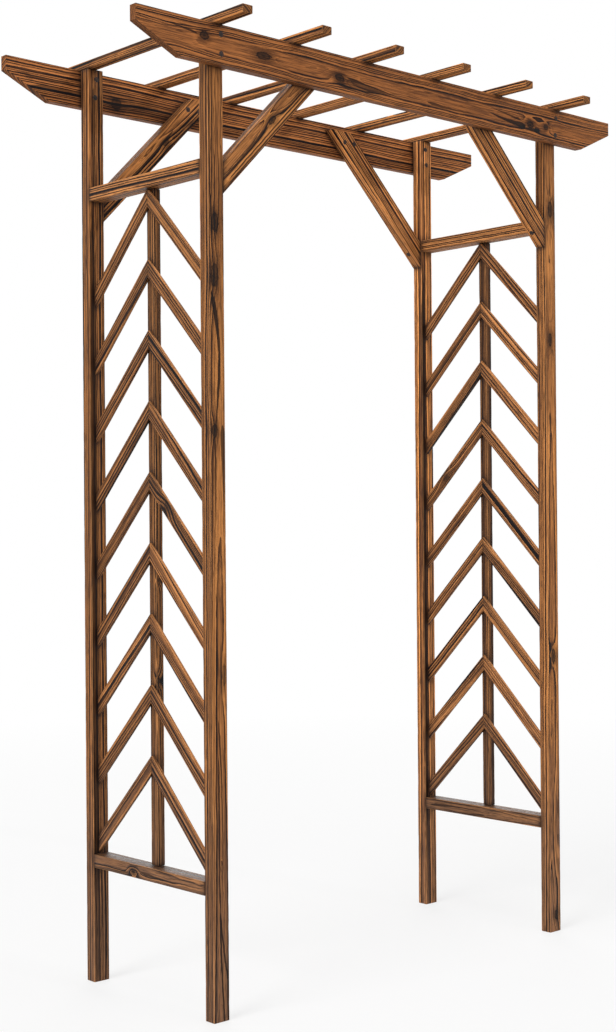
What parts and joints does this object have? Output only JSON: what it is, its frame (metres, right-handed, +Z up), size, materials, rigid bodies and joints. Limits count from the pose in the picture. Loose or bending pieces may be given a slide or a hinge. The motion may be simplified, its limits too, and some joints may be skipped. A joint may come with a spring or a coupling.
{
  "type": "garden arbor",
  "caption": "Open garden arbor: slender posts, shaped beams, cross battens, knee braces and side panels of chevron slats.",
  "frame": {"origin": "on the ground under the middle of the arbor", "axes": "+X right along the beams, +Y from the front beam to the back beam, +Z up"},
  "size_m": [1.544, 0.699, 2.118],
  "materials": {
    "post_timber": "stained softwood, straight grain, satin",
    "beam_timber": "stained softwood board with arched grain and knots, satin",
    "brace_timber": "stained softwood, straight grain, satin",
    "batten_timber": "stained softwood strip, satin",
    "panel_timber": "stained softwood strip, satin",
    "slat_timber": "stained softwood slat, satin",
    "fixing_steel": "darkened steel screws and bolts"
  },
  "bodies": {
    "root": {"post_front_left": "post_timber", "post_front_right": "post_timber", "post_back_left": "post_timber", "post_back_right": "post_timber", "beam_front": "beam_timber", "beam_back": "beam_timber", "brace_front_left": "brace_timber", "brace_front_right": "brace_timber", "brace_back_left": "brace_timber", "brace_back_right": "brace_timber", "batten_1": "batten_timber", "batten_2": "batten_timber", "batten_3": "batten_timber", "batten_4": "batten_timber", "batten_5": "batten_timber", "batten_6": "batten_timber", "rail_upper_left": "panel_timber", "rail_upper_right": "panel_timber", "rail_lower_left": "panel_timber", "rail_lower_right": "panel_timber", "stile_left": "panel_timber", "stile_right": "panel_timber", "chevron_left_1": "slat_timber", "chevron_left_2": "slat_timber", "chevron_left_3": "slat_timber", "chevron_left_4": "slat_timber", "chevron_left_5": "slat_timber", "chevron_left_6": "slat_timber", "chevron_left_7": "slat_timber", "chevron_left_8": "slat_timber", "chevron_left_9": "slat_timber", "chevron_right_1": "slat_timber", "chevron_right_2": "slat_timber", "chevron_right_3": "slat_timber", "chevron_right_4": "slat_timber", "chevron_right_5": "slat_timber", "chevron_right_6": "slat_timber", "chevron_right_7": "slat_timber", "chevron_right_8": "slat_timber", "chevron_right_9": "slat_timber"}
  },
  "joints": []
}
